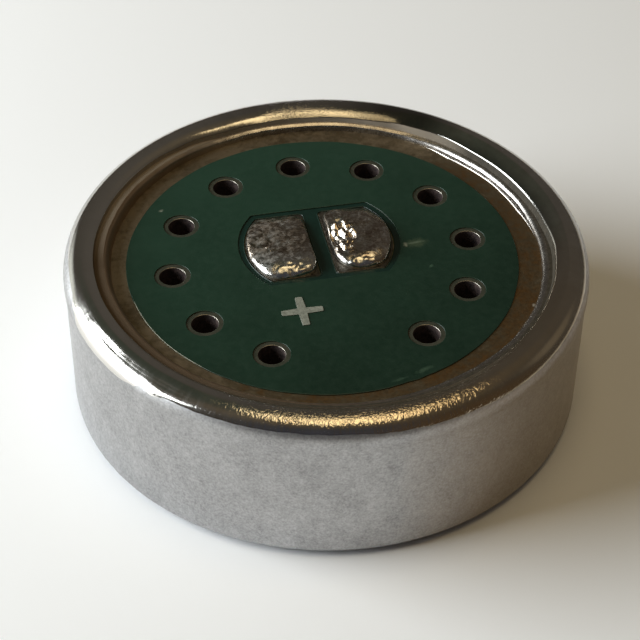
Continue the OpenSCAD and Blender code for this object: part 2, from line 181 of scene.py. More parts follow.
# The room's dark colour, and its brighter parts: azimuth from the camera's right and elevation of the
# middle, inner and outer reach, all in degrees, and colour
ROOM_BASE = (0.046, 0.040, 0.032)
ROOM = (
    (60, 15, 30, 70, (0.070, 0.062, 0.052)),
    (320, 5, 20, 50, (0.070, 0.048, 0.028)),
    (270, 86, 24, 50, (0.095, 0.075, 0.048)),
    (270, 32, 14, 34, (0.044, 0.047, 0.058)),
    (138, 60, 12, 30, (0.040, 0.046, 0.034)),
    (141, 6, 6, 17, (0.72, 0.74, 0.69)),
    (20, 30, 6, 16, (0.13, 0.112, 0.085)),
)
FLOOR_HALF = 2000

# How finely the meshes are divided
CASE_SPOKES = 700
EDGE_POINTS = 720
DOME_SPOKES = 240
DOME_RINGS = 60
SATIN_ROWS = 9
BURNISHED_ROWS = 32
INNER_ROWS = 24
CREASE_ROWS = 7
NOSE_TOP_ROWS = 5
NOSE_ROWS = 9
LIP_ROWS = 6
# Points of one mesh that lie nearer than this are joined
WELD = 0.0005


# Directions
def seen(x, y, z=0.0):
    """A direction that the camera sees as (right, away, up), in the part's frame."""
    c, s = cos(CAMERA_AZIMUTH), sin(CAMERA_AZIMUTH)
    return Vector((c * x - s * y, s * x + c * y, z))


def sky(azimuth, elevation):
    """The direction of a point of the sky, its azimuth in degrees from the camera's right."""
    a, e = radians(azimuth), radians(elevation)
    return seen(cos(a) * cos(e), sin(a) * cos(e), sin(e))


def polar(center, r, a):
    return center[0] + r * cos(a), center[1] + r * sin(a)


# Shader helpers
class Look:
    """The node tree of a material or world, with short ways to fill it."""

    def __init__(self, data):
        data.use_nodes = True
        self.data = data
        self.tree = data.node_tree

    def fill(self, node, inputs):
        """Links inputs, by name or number, to outputs of other nodes, or sets their values."""
        for name, value in inputs.items():
            if isinstance(value, bpy.types.NodeSocket):
                self.tree.links.new(value, node.inputs[name])
            else:
                node.inputs[name].default_value = value

    def put(self, kind, inputs, **settings):
        """A new shader node of a kind."""
        node = self.tree.nodes.new(kind)
        for name, value in settings.items():
            setattr(node, name, value)
        self.fill(node, inputs)
        return node

    def calc(self, operation, *values):
        return self.put("ShaderNodeMath", dict(enumerate(values)), operation=operation).outputs[0]

    def add(self, a, b):
        return self.calc("ADD", a, b)

    def times(self, a, b):
        return self.calc("MULTIPLY", a, b)

    def total(self, *shares):
        """The sum of (value, weight) pairs."""
        return reduce(self.add, [self.times(value, weight) for value, weight in shares])

    def vectors(self, operation, *values):
        node = self.put("ShaderNodeVectorMath", dict(enumerate(values)), operation=operation)
        return node.outputs

    def dot(self, vector, direction):
        """How far a vector points in a fixed direction."""
        return self.vectors("DOT_PRODUCT", vector, direction)["Value"]

    def length(self, vector):
        return self.vectors("LENGTH", vector)["Value"]

    @cached_property
    def place(self):
        """Object coordinates in millimetres."""
        coordinates = self.put("ShaderNodeTexCoord", {}).outputs["Object"]
        scaled = self.put("ShaderNodeVectorMath", {0: coordinates, "Scale": 1 / MM}, operation="SCALE")
        return scaled.outputs["Vector"]

    @cached_property
    def around(self):
        """The direction from the case's axis."""
        return self.round_axis(1.0, 0.0)

    def round_axis(self, around, across, along=None):
        """Coordinates that run round the case's axis: scale round it, from it and along it."""
        x, y, z = self.put("ShaderNodeSeparateXYZ", {0: self.place}).outputs
        radius = self.calc("SQRT", self.add(self.times(x, x), self.times(y, y)))
        height = self.times(z, across if along is None else along)
        return self.put("ShaderNodeCombineXYZ", {
            0: self.times(self.calc("DIVIDE", x, radius), around),
            1: self.times(self.calc("DIVIDE", y, radius), around),
            2: self.add(self.times(radius, across), height),
        }).outputs[0]

    def side(self, right, away):
        """1 at the side of the case that lies in a direction of the camera's, -1 opposite."""
        return self.dot(self.around, seen(right, away))

    def noise(self, scale, detail, rough, warp=0.0, vector=None):
        inputs = {"Scale": scale, "Detail": detail, "Roughness": rough, "Distortion": warp,
                  "Vector": vector or self.place}
        return self.put("ShaderNodeTexNoise", inputs).outputs["Fac"]

    def spread(self, value, low, high, to_low=0.0, to_high=1.0):
        """Maps a value from one range to another and clamps it."""
        inputs = {"Value": value, "From Min": low, "From Max": high, "To Min": to_low, "To Max": to_high}
        return self.put("ShaderNodeMapRange", inputs).outputs["Result"]

    def ramp(self, value, *stops):
        """A colour ramp: stops are (place, (r, g, b))."""
        node = self.put("ShaderNodeValToRGB", {"Fac": value})
        elements = node.color_ramp.elements
        while len(elements) < len(stops):
            elements.new(0.5)
        for element, (place, colour) in zip(elements, stops):
            element.position = place
            element.color = (*colour, 1)
        return node.outputs["Color"]

    def stain(self, colour, factor, tint):
        """Mixes a tint into a colour by a factor."""
        inputs = {"Factor": factor, "A": colour, "B": (*tint, 1)}
        return self.put("ShaderNodeMix", inputs, data_type="RGBA").outputs["Result"]

    def blot(self, center, size, turn):
        """1 in a ragged ellipse of the board's plane and 0 outside it, size being its half axes."""
        mapped = self.put("ShaderNodeMapping", {
            "Location": (*center, Z_FACE), "Rotation": (0, 0, radians(turn)), "Scale": (*size, 10),
            "Vector": self.place,
        }, vector_type="TEXTURE").outputs["Vector"]
        ragged = self.calc("SUBTRACT", self.times(self.noise(9.0, 4, 0.7), 1.6), 0.8)
        return self.spread(self.add(self.length(mapped), ragged), 0.35, 1.05, 1.0, 0.0)

    def dress(self, colour, rough, *layers, metallic=0.0, specular=0.5):
        """Fills the shader; layers of relief are (height, distance in millimetres, strength)."""
        relief = {}
        for height, distance, strength in layers:
            inputs = {"Distance": distance * MM, "Strength": strength, "Height": height, **relief}
            relief = {"Normal": self.put("ShaderNodeBump", inputs).outputs["Normal"]}
        self.fill(self.tree.nodes["Principled BSDF"], {
            "Base Color": colour, "Roughness": rough, "Metallic": metallic,
            "Specular IOR Level": specular, **relief,
        })
        return self.data


def new_look(name):
    return Look(bpy.data.materials.new(name))


# Materials
def wall_metal():
    """Satin aluminium of the drawn wall: a fine frosted grain with faint clouds, and a painted brown
    reflection towards the right front.
    """
    look = new_look("satin_aluminium")
    clouds = look.noise(1.0, 3, 0.6, vector=look.round_axis(8.0, 0.2, 0.8))
    grain = look.noise(6.0, 3, 0.6)
    fine = look.noise(15.0, 3, 0.65)
    both = look.total((clouds, 0.25), (grain, 0.25), (fine, 0.5))
    colour = look.ramp(both, (0.36, (0.295, 0.292, 0.294)), (0.64, (0.535, 0.532, 0.537)))
    # Painted reflection: browner towards the right front, where the shaded floor shows in the metal
    right = look.add(look.side(0.83, -0.56), look.times(clouds, 0.1))
    colour = look.stain(colour, look.spread(right, 0.8, 1.0, 0.0, 0.5), (0.34, 0.25, 0.16))
    rough = look.spread(both, 0.3, 0.7, 0.46, 0.36)
    return look.dress(colour, rough, (grain, 0.009, 0.6), (fine, 0.006, 0.7), metallic=1.0)


def rim_metal():
    """Burnished aluminium of the rolled rim, with the roller's chatter across it at the front and back.

    Its colour holds painted reflections: pale at the left, brown at the right front and dark grey low at the
    back and over the back right. It is darker and duller at its inner front edge."""
    look = new_look("burnished_rim")
    streaks = look.noise(1.0, 4, 0.65, vector=look.round_axis(75.0, 5.0))
    broad = look.noise(1.0, 3, 0.6, vector=look.round_axis(12.0, 1.6))
    grain = look.noise(8.0, 4, 0.7)
    away = look.side(0, 1)
    right = look.side(1, 0)
    back = look.times(look.spread(away, 0.94, 0.98), look.spread(right, -0.25, 0.1, 1.0, 0.3))
    front = look.times(look.spread(away, -0.85, -0.7, 1.0, 0.0), look.spread(right, -0.50, -0.14))
    chatter = look.noise(1.0, 2, 0.55, 0.7, look.round_axis(88.0, 18.0))
    sparkle = look.times(chatter, look.calc("MAXIMUM", back, front))
    colour = look.ramp(broad, (0.3, (0.60, 0.575, 0.54)), (0.7, (0.74, 0.725, 0.70)))
    # Painted reflection: paler at the left, where the window shows
    colour = look.stain(colour, look.spread(right, -0.9, -0.3, 0.65, 0.0), (0.93, 0.90, 0.85))
    # Painted reflection: browner at the right front
    brown = look.spread(look.side(0.7, -0.71), 0.5, 0.95, 0.0, 0.7)
    colour = look.stain(colour, brown, (0.66, 0.54, 0.38))
    radius = look.length(look.vectors("MULTIPLY", look.place, (1, 1, 0))["Vector"])
    film = look.times(look.spread(radius, 7.03, 7.15, 1.0, 0.0), look.spread(away, -0.8, -0.5, 1.0, 0.0))
    colour = look.stain(colour, film, (0.30, 0.24, 0.17))
    height = look.dot(look.place, (0, 0, 1))
    # Painted dark reflection: darker low on the outer slope at the back, and over the back right
    low = look.spread(height, Z_CREST - 0.20, Z_CREST - 0.05, 1.0, 0.0)
    painted_dark_low_back = look.times(look.spread(away, -0.2, 0.3, 0.0, 0.85), low)
    painted_dark_back_right = look.times(look.spread(away, 0.8, 0.9), look.spread(right, 0.0, 0.26, 0.12, 0.85))
    colour = look.stain(colour, look.calc("MAXIMUM", painted_dark_low_back, painted_dark_back_right), (0.13, 0.125, 0.115))
    rough = look.add(look.spread(streaks, 0.3, 0.7, 0.10, 0.16), look.times(film, 0.3))
    return look.dress(colour, rough, (streaks, 0.002, 0.5), (broad, 0.02, 0.3), (grain, 0.003, 0.6),
                      (sparkle, 0.019, 1.0), metallic=1.0)


def groove_metal():
    """The bead's steep inner edge and the groove under it: dull metal, dark as painted shade, lighter and
    browner at the left as painted light, and lighter, metallic towards the back.
    """
    look = new_look("groove_painted_shade")
    grain = look.noise(7.0, 4, 0.65)
    bare = look.spread(look.side(-0.45, 0.9), 0.35, 0.75, 0.0, 0.9)
    left = look.spread(look.side(-0.94, -0.34), 0.4, 0.85)
    # Painted shade: the groove's dark colour
    colour = look.ramp(grain, (0.3, (0.030, 0.027, 0.020)), (0.7, (0.062, 0.052, 0.038)))
    # Painted light: lighter and browner at the left
    colour = look.stain(colour, left, (0.11, 0.078, 0.05))
    colour = look.stain(colour, bare, (0.46, 0.39, 0.31))
    rough = look.spread(grain, 0.3, 0.7, 0.50, 0.65)
    return look.dress(colour, rough, (grain, 0.008, 0.7), metallic=bare, specular=0.15)


def lip_metal():
    """The lip's end: pressed, not rolled, so duller than the bead; browner and rougher at the left, the
    brown a painted reflection.
    """
    look = new_look("lip_metal")
    grain = look.noise(10.0, 4, 0.7)
    broad = look.noise(1.0, 3, 0.6, vector=look.round_axis(9.0, 1.0))
    left = look.spread(look.side(-0.88, -0.47), 0.0, 0.6)
    colour = look.ramp(broad, (0.3, (0.38, 0.35, 0.325)), (0.7, (0.58, 0.55, 0.52)))
    # Painted reflection: browner at the left
    colour = look.stain(colour, look.times(left, 0.85), (0.34, 0.235, 0.145))
    rough = look.add(look.spread(grain, 0.3, 0.7, 0.22, 0.34), look.times(left, 0.2))
    return look.dress(colour, rough, (grain, 0.005, 0.7), metallic=1.0)


def bare_copper():
    """Dull, tarnished copper: olive brown, with warmer patches; painted light and shade make it paler
    towards the back left and darker and warmer towards the front right.
    """
    look = new_look("bare_copper")
    # Painted light and shade: paler towards the back left, darker towards the front right
    painted_light_lean = look.spread(look.dot(look.place, seen(0.92, -0.4)), -6.5, 6.5, -0.27, 0.17)
    patches = look.add(look.noise(0.7, 4, 0.6), painted_light_lean)
    grain = look.noise(12.0, 4, 0.6)
    spots = look.calc("SUBTRACT", look.times(look.noise(3.2, 5, 0.7), 0.9), 0.35)
    both = look.add(look.times(patches, 0.8), spots)
    colour = look.ramp(both, (0.25, (0.41, 0.335, 0.235)), (0.5, (0.215, 0.175, 0.115)),
                       (0.78, (0.25, 0.145, 0.060)))
    colour = look.stain(colour, look.blot((5.6, -3.33), (0.09, 0.06), 60), (0.75, 0.72, 0.66))
    rough = look.spread(grain, 0.3, 0.7, 0.38, 0.50)
    return look.dress(colour, rough, (grain, 0.006, 0.5), (patches, 0.05, 0.4), metallic=1.0)


def green_mask():
    """Dark green lacquer, glossy and faintly uneven, with painted light: lighter towards the back left,
    darker towards the front right.
    """
    look = new_look("green_mask")
    broad = look.noise(0.45, 3, 0.5)
    fine = look.noise(5.0, 4, 0.6)
    # Painted light: lighter towards the back left
    painted_light_lean = look.spread(look.dot(look.place, seen(-0.707, 0.707)), -6.0, 6.0, 0.0, 0.5)
    both = look.add(look.total((broad, 0.3), (fine, 0.2)), painted_light_lean)
    colour = look.ramp(both, (0.2, (0.0045, 0.018, 0.010)), (0.5, (0.0105, 0.033, 0.020)),
                       (0.8, (0.0165, 0.048, 0.030)))
    for center, size, turn, tint in MASK_MARKS:
        colour = look.stain(colour, look.blot(center, size, turn), tint)
    rough = look.spread(fine, 0.3, 0.7, 0.30, 0.42)
    return look.dress(colour, rough, (broad, 0.04, 0.3), (fine, 0.004, 0.4))


def solder_metal(name, smooth, rough, crumple, flux, oxide):
    """Grainy solder: brown under flux, with dull grey spots of oxide; paler towards the front as a painted
    highlight, and with more grey spots towards the left, where they are a painted sheen.
    """
    look = new_look(name)
    mottle = look.noise(2.4, 5, 0.65, 0.5)
    lumps = look.noise(4.5, 3, 0.6, 0.8)
    grain = look.noise(13.0, 4, 0.7)
    # Painted highlight: paler towards the front
    painted_light_front = look.spread(look.dot(look.place, seen(0, 1)), -0.75, 0.1, 0.16, 0.0)
    both = look.add(look.total((mottle, 0.6), (grain, 0.4)), painted_light_front)
    colour = look.ramp(both, (0.37, flux[0]), (0.5, flux[1]), (0.63, (0.72, 0.71, 0.68)))
    # Painted sheen: more dull grey spots towards the left
    side = look.spread(look.dot(look.place, seen(1, -0.35)), -2.3, 0.2, 0.05, -0.10)
    spots = look.add(look.noise(5.5, 4, 0.6, 0.4), side)
    dull = look.spread(spots, 0.46, 0.72, 0.0, oxide)
    colour = look.stain(colour, dull, (0.30, 0.27, 0.225))
    return look.dress(colour, look.spread(grain, 0.3, 0.7, smooth, rough), (lumps, crumple, 0.9),
                      (grain, 0.008, 0.8), metallic=look.calc("SUBTRACT", 1.0, dull))


def glass_laminate():
    """Glass-cloth laminate: the weave shows faintly through the resin."""
    look = new_look("glass_laminate")
    inputs = {"Scale": 0.8, "Distortion": 0.6, "Vector": look.place}
    warp, weft = [look.put("ShaderNodeTexWave", inputs, bands_direction=way).outputs["Fac"] for way in "XY"]
    weave = look.times(warp, weft)
    colour = look.ramp(weave, (0.1, (0.10, 0.10, 0.05)), (0.9, (0.19, 0.18, 0.09)))
    return look.dress(colour, 0.45, (weave, 0.01, 0.4))


def grained(name, dark, light, rough, grain, relief, stops=(0.3, 0.7), metallic=0.0):
    """A material of one grain, which its colour, its relief and, as a pair, its roughness follow.

    grain is the noise's scale, detail, roughness and warp; relief is a distance and a strength."""
    look = new_look(name)
    value = look.noise(*grain)
    colour = look.ramp(value, (stops[0], dark), (stops[1], light))
    if isinstance(rough, tuple):
        rough = look.spread(value, 0.3, 0.7, *rough)
    return look.dress(colour, rough, (value, *relief), metallic=metallic)


def plain_metal(name, dark, light, rough):
    return grained(name, dark, light, (rough, rough + 0.12), (8.0, 4, 0.65), (0.006, 0.5), metallic=1.0)


def plain_solid(name, dark, light, rough, scale=6.0):
    return grained(name, dark, light, (rough, rough + 0.1), (scale, 4, 0.65), (0.01, 0.5))


MATERIALS = {
    "wall": wall_metal(),
    "rim": rim_metal(),
    "groove": groove_metal(),
    "lip": lip_metal(),
    # Inside of the sound holes: dark as painted shade, with a brown stain
    "bore": grained("bore_wall", (0.018, 0.013, 0.013), (0.085, 0.058, 0.052), 0.55, (6.0, 4, 0.7),
                    (0.02, 0.6), (0.35, 0.7)),
    # Thin tin at the terminals' edges, dark and dull
    "pad": grained("pad_tin", (0.09, 0.082, 0.068), (0.20, 0.185, 0.16), (0.36, 0.50), (9.0, 4, 0.7),
                   (0.010, 0.7), metallic=1.0),
    "crumpled": solder_metal("smoother_solder", 0.13, 0.26, 0.008,
                             ((0.28, 0.22, 0.17), (0.48, 0.42, 0.36)), 0.3),
    "copper": bare_copper(),
    "plating": plain_metal("port_plating", (0.27, 0.25, 0.215), (0.44, 0.41, 0.36), 0.30),
    "land": plain_solid("port_land", (0.020, 0.026, 0.016), (0.044, 0.042, 0.027), 0.5, 4.0),
    "mask": green_mask(),
    # Pale: a painted highlight on the mask's lifted edge
    "edge": plain_solid("mask_edge", (0.22, 0.23, 0.18), (0.42, 0.42, 0.34), 0.3, 4.0),
    # The lacquer where there is no copper under it: darker
    "channel": grained("green_mask_channel", (0.004, 0.018, 0.013), (0.007, 0.026, 0.019), 0.3,
                       (5.0, 4, 0.6), (0.006, 0.5)),
    "solder": solder_metal("solder", 0.13, 0.24, 0.014, ((0.20, 0.145, 0.10), (0.42, 0.36, 0.30)), 0.4),
    "ink": grained("printed_ink", (0.13, 0.14, 0.115), (0.26, 0.27, 0.225), 0.6, (9.0, 4, 0.7),
                   (0.01, 0.6), (0.3, 0.65)),
    "cloth": grained("black_cloth", (0.006, 0.006, 0.007), (0.035, 0.034, 0.036), 0.95,
                     (12.0, 6, 0.8, 1.5), (0.05, 0.9), (0.35, 0.7)),
    "laminate": glass_laminate(),
    "brass": plain_metal("brass", (0.55, 0.40, 0.18), (0.72, 0.55, 0.27), 0.28),
    "tinned": plain_metal("tinned", (0.58, 0.57, 0.54), (0.72, 0.71, 0.68), 0.25),
    "film": plain_metal("metallised_film", (0.55, 0.53, 0.46), (0.66, 0.64, 0.56), 0.15),
    "electret": plain_solid("electret_film", (0.52, 0.51, 0.45), (0.62, 0.61, 0.55), 0.2),
    "amber": plain_solid("spacer_film", (0.45, 0.26, 0.06), (0.55, 0.34, 0.09), 0.3),
    "chamber": plain_solid("chamber_plastic", (0.03, 0.03, 0.033), (0.05, 0.05, 0.054), 0.5),
    "damping": plain_solid("damping_cloth", (0.45, 0.43, 0.39), (0.66, 0.64, 0.59), 0.9, 14.0),
    "epoxy": plain_solid("epoxy", (0.02, 0.02, 0.02), (0.04, 0.04, 0.04), 0.5),
    "ceramic": plain_solid("ceramic", (0.34, 0.24, 0.15), (0.46, 0.34, 0.22), 0.4),
}

# Materials of the CAD nodes that stay as they are
NODE_MATERIALS = {
    "circuit_board": "laminate", "diaphragm_ring": "brass", "diaphragm": "film", "spacer": "amber",
    "electret_film": "electret", "backplate": "brass", "chamber": "chamber", "damping_disc": "damping",
    "gate_ring": "brass", "port_cloth": "cloth", "positive_copper": "pad", "gate_copper": "copper",
    "fet_body": "epoxy", "fet_leads": "tinned", "capacitor_1": "ceramic", "capacitor_2": "ceramic",
    "capacitor_ends": "tinned", "inner_solder": "solder",
}


# Mesh helpers
def add_object(name, data):
    made = bpy.data.objects.new(name, data)
    bpy.context.scene.collection.objects.link(made)
    return made


def paint(mesh, material):
    mesh.materials.clear()
    mesh.materials.append(MATERIALS[material])


def piece(name, points, faces, material, smooth=True, indices=None):
    """A mesh object from points in millimetres. indices gives each face's material slot."""
    mesh = bpy.data.meshes.new(name)
    mesh.from_pydata([Vector(p) * MM for p in points], [], faces)
    for entry in material if isinstance(material, (list, tuple)) else [material]:
        mesh.materials.append(MATERIALS[entry])
    if indices is not None:
        mesh.polygons.foreach_set("material_index", indices)
    mesh.polygons.foreach_set("use_smooth", [smooth] * len(mesh.polygons))
    mesh.update()
    return add_object(name, mesh)


def settle(made, slot, *replaced):
    """Rides a piece on the body and hides the nodes that it stands for."""
    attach(made, "root")
    if replaced:
        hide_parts(*replaced)
    return made


def select(objects):
    """Selects these objects alone and makes the first one active."""
    bpy.ops.object.select_all(action="DESELECT")
    for entry in objects:
        entry.select_set(True)
    bpy.context.view_layer.objects.active = objects[0]


def join(name, parts):
    """Joins mesh objects into the first and names it."""
    select(parts)
    bpy.ops.object.join()
    parts[0].name = parts[0].data.name = name
    return parts[0]


def smooth_by_angle(made, angle):
    select([made])
    bpy.ops.object.shade_smooth_by_angle(angle=radians(angle))


def smooth_plate(made):
    """Smooths by angle, with level faces flat, so that their rounded edges draw no bands over them."""
    smooth_by_angle(made, 35)
    for face in made.data.polygons:
        if abs(face.normal.z) > 0.9999:
            face.use_smooth = False


def weld(mesh, outward=False):
    """Joins points that meet and, if asked, turns all faces outward."""
    work = bmesh.new()
    work.from_mesh(mesh)
    bmesh.ops.remove_doubles(work, verts=work.verts, dist=WELD * MM)
    if outward:
        bmesh.ops.recalc_face_normals(work, faces=work.faces)
    work.to_mesh(mesh)
    work.free()


def arc(center, radius, start, end, steps):
    """Points of an arc, angles in degrees."""
    return [polar(center, radius, radians(start + (end - start) * i / steps)) for i in range(steps + 1)]


def circle_points(center, radius, count):
    return [polar(center, radius, tau * i / count) for i in range(count)]


def new_curve(name, dimensions, bevel, resolution):
    curve = bpy.data.curves.new(name, "CURVE")
    curve.dimensions = dimensions
    curve.bevel_depth = bevel * MM
    curve.bevel_resolution = resolution
    return curve


def add_line(curve, points, closed=True):
    """Adds a polyline through (x, y, z) points in millimetres."""
    spline = curve.splines.new("POLY")
    spline.points.add(len(points) - 1)
    for point, (x, y, z) in zip(spline.points, points):
        point.co = (x * MM, y * MM, z * MM, 1)
    spline.use_cyclic_u = closed
    return spline


def from_curve(name, curve, material):
    """A smooth mesh object from a curve."""
    holder = add_object(name + "_curve", curve)
    bpy.context.view_layer.update()
    mesh = bpy.data.meshes.new_from_object(holder.evaluated_get(bpy.context.evaluated_depsgraph_get()))
    bpy.data.objects.remove(holder)
    mesh.name = name
    paint(mesh, material)
    mesh.polygons.foreach_set("use_smooth", [True] * len(mesh.polygons))
    return add_object(name, mesh)


def plate(name, outlines, bottom, top, material, bevel=0.0, center=BOARD):
    """A flat plate from closed outlines, holes included, with rounded edges."""
    curve = new_curve(name, "2D", bevel, 2)
    curve.fill_mode = "BOTH"
    curve.extrude = ((top - bottom) / 2 - bevel) * MM
    curve.offset = -bevel * MM
    for outline in outlines:
        add_line(curve, [(x, y, 0) for x, y in outline])
    made = from_curve(name, curve, material)
    made.data.transform(Matrix.Translation((center[0] * MM, center[1] * MM, (top + bottom) / 2 * MM)))
    weld(made.data)
    smooth_plate(made)
    return made


def shoulder(name, outline, material, radius, top):
    """A rounded edge that runs along an outline, its top at the given height."""
    curve = new_curve(name, "3D", radius, 3)
    add_line(curve, [(BOARD.x + x, BOARD.y + y, top - radius) for x, y in outline])
    return from_curve(name, curve, material)


def lathe(name, section, count, material, indices=None, center=(0, 0)):
    """Turns a closed section of (r, z) points; section may be a function of the angle."""
    turns = [tau * k / count for k in range(count)]
    rings = [section(a) if callable(section) else section for a in turns]
    points = [(*polar(center, r, a), z) for a, ring in zip(turns, rings) for r, z in ring]
    size = len(rings[0])
    faces = []
    for k in range(count):
        here, after = k * size, (k + 1) % count * size
        for i in range(size):
            j = (i + 1) % size
            faces.append((here + i, after + i, after + j, here + j))
    return piece(name, points, faces, material, indices=(indices or [0] * size) * count)


def within_one(value):
    return min(1.0, max(0.0, value))


def eased(t):
    """A share from 0 to 1 that starts and ends level."""
    return 3 * t * t - 2 * t ** 3


def from_table(angle, table):
    """Smooth value at an angle of the part's frame from a table of the camera's degrees."""
    turn = degrees(angle - CAMERA_AZIMUTH) % 360
    for (a, low), (b, high) in zip(table, table[1:] + ((table[0][0] + 360, table[0][1]),)):
        if a <= turn <= b:
            return low + (high - low) * eased((turn - a) / (b - a))
    return table[-1][1]


def ripple(angle, waves, seed):
    """Seeded noise round the axis, about -1 to 1, with so many waves to a turn."""
    r = waves / tau
    return 2 * noise.noise(Vector((r * cos(angle), r * sin(angle), seed)))


# Case
def run_lengths(line):
    """The length of a polyline up to each of its points."""
    lengths = [0.0]
    for (ax, az), (bx, bz) in zip(line, line[1:]):
        lengths.append(lengths[-1] + hypot(bx - ax, bz - az))
    return lengths


def along(line, t):
    """The point at a share t of the length of a polyline."""
    lengths = run_lengths(line)
    want = t * lengths[-1]
    for i in range(1, len(line)):
        if want <= lengths[i] or i == len(line) - 1:
            f = (want - lengths[i - 1]) / (lengths[i] - lengths[i - 1])
            (ax, az), (bx, bz) = line[i - 1], line[i]
            return ax + f * (bx - ax), az + f * (bz - az)


def share_at_height(line, z):
    """The share of the length of a rising polyline at which it reaches a height."""
    lengths = run_lengths(line)
    for (ax, az), (bx, bz), start, end in zip(line, line[1:], lengths, lengths[1:]):
        if az <= z <= bz:
            return (start + (end - start) * (z - az) / (bz - az)) / lengths[-1]
    return 1.0


FRONT_RADII = (0.0001, 1.5, 3.0, 5.0, 7.0)
Z_WALL = Z_CASE + CORNER_R
Z_SHOULDER = Z_BEND - SHOULDER_H
FRONT_FACE = [(r, Z_CASE) for r in FRONT_RADII]
FRONT_CORNER = arc((WALL_R - CORNER_R, Z_WALL), CORNER_R, -90, 0, 8)
WALL = [(WALL_R, Z_WALL + (Z_SHOULDER - Z_WALL) * t) for t in (0.25, 0.5, 0.75, 1.0)]
SHOULDER = [(WALL_R + (CASE_R - WALL_R) * eased(t), Z_SHOULDER + SHOULDER_H * t)
            for t in (0.0, 0.2, 0.4, 0.6, 0.8)]
OUTER_BEND = SHOULDER + arc((CREST_R, Z_BEND), OUTER_BEND_R, 0, 90, 60)
UNDER_R = OUTER_BEND_R - SHEET_T
UNDER_FOOT = degrees(asin((Z_FOOT - Z_BEND) / UNDER_R))
RETURN = (arc((CREST_R, Z_BEND), UNDER_R, 180 - UNDER_FOOT, 0, 8)
          + [(WALL_R - SHEET_T, Z_SHOULDER), (WALL_R - SHEET_T, Z_CASE + SHEET_T)]
          + [(r, Z_CASE + SHEET_T) for r in reversed(FRONT_RADII)])


def rim_inside(angle):
    """From the crest down the bead's inner slope, into the groove and over the lip's nose to its foot."""
    crease_r = from_table(angle, CREASE_ROUND) + 0.006 * ripple(angle, 40, 3.3)
    crease_h = from_table(angle, CREASE_H_ROUND)
    power = from_table(angle, SLOPE_ROUND)
    contact_r = from_table(angle, CONTACT_ROUND)
    contact_r += 0.008 * ripple(angle, 30, 1.7) + 0.006 * ripple(angle, 120, 7.7)
    run, drop = CREST_R - crease_r, CREST_H - crease_h
    slope = [(CREST_R - run * t, Z_FACE + CREST_H - drop * t ** power)
             for t in ((i / INNER_ROWS) ** 0.9 for i in range(1, INNER_ROWS + 1))]
    tilt = atan(power * drop / run)
    edge_r = from_table(angle, CREASE_EDGE_ROUND)
    center = (slope[-1][0] + edge_r * sin(tilt), slope[-1][1] - edge_r * cos(tilt))
    crease = arc(center, edge_r, 90 + degrees(tilt), 163, CREASE_ROWS)
    nose_top = Z_COPPER + from_table(angle, NOSE_ROUND) + 0.006 * ripple(angle, 24, 5.9)
    foot_r = crease[-1][0] - 0.3 * (crease[-1][1] - nose_top)
    flat = from_table(angle, NOSE_FLAT_ROUND)
    bulge = min(NOSE_W - 0.06 * flat, max(0.05, foot_r - 0.01 - contact_r))
    end_w = bulge + (NOSE_DROP_W - bulge) * flat
    dip = NOSE_DIP * (bulge - end_w)
    nose = [(contact_r + bulge - (bulge - end_w) * t, nose_top - dip * t ** 1.5)
            for t in (i / NOSE_TOP_ROWS for i in range(NOSE_TOP_ROWS))]
    nose += [(contact_r + end_w * (1 - sin(a)), Z_FOOT + (nose_top - dip - Z_FOOT) * cos(a))
             for a in (radians(90 * i / NOSE_ROWS) for i in range(NOSE_ROWS + 1))]
    toe_r = TOE_R * from_table(angle, TOE_ROUND) * (1 + 0.3 * ripple(angle, 50, 8.8))
    toe = arc((contact_r - 1.6 * toe_r, Z_FOOT), toe_r, 20, 180, 6)
    return slope + crease[1:] + [(foot_r, nose_top)] + nose + toe


def pressed_in(point, depth):
    """A point of the outer bend after the pressing, which makes the bend lie back sooner."""
    turn = atan2(point[1] - Z_BEND, point[0] - CREST_R)
    share = within_one((degrees(turn) - PRESS_START) / PRESS_GROWS)
    share *= within_one((90 - degrees(turn)) / PRESS_FADES)
    return point[0] - depth * share * cos(turn), point[1] - depth * share * sin(turn)


def case_section(angle):
    """The case's closed section at an angle, from the axis out, over the rim and back."""
    edge = Z_FACE + from_table(angle, BURNISH_ROUND)
    edge += 0.012 * ripple(angle, 36, 5.1) + 0.008 * ripple(angle, 150, 2.1)
    split = share_at_height(OUTER_BEND, edge)
    satin = [along(OUTER_BEND, split * i / SATIN_ROWS) for i in range(1, SATIN_ROWS)]
    press = from_table(angle, PRESS_ROUND) * (1 + 0.25 * ripple(angle, 80, 4.4))
    burnished = [pressed_in(along(OUTER_BEND, split + (1 - split) * i / BURNISHED_ROWS), press)
                 for i in range(BURNISHED_ROWS + 1)]
    return FRONT_FACE + FRONT_CORNER + WALL + satin + burnished + rim_inside(angle) + RETURN


def make_case():
    size = len(case_section(0.0))
    outside = len(FRONT_FACE) + len(FRONT_CORNER) + len(WALL) + SATIN_ROWS - 1
    flank = outside + BURNISHED_ROWS + 1 + INNER_ROWS + CREASE_ROWS - 1
    foot = size - len(RETURN) - 1
    # Rows of wall, rim, groove and lip, then the inside, which is like the wall
    slots = [0] * outside + [1] * (flank - 1 - outside) + [2] * 3 + [3] * (foot - flank - 2)
    slots += [0] * (size - foot)
    shell = lathe("case_shell", case_section, CASE_SPOKES, ["wall", "rim", "groove", "lip"], slots)
    weld(shell.data, outward=True)
    drill_front(shell)
    smooth_by_angle(shell, 40)
    return settle(shell, "case_metal", "case")


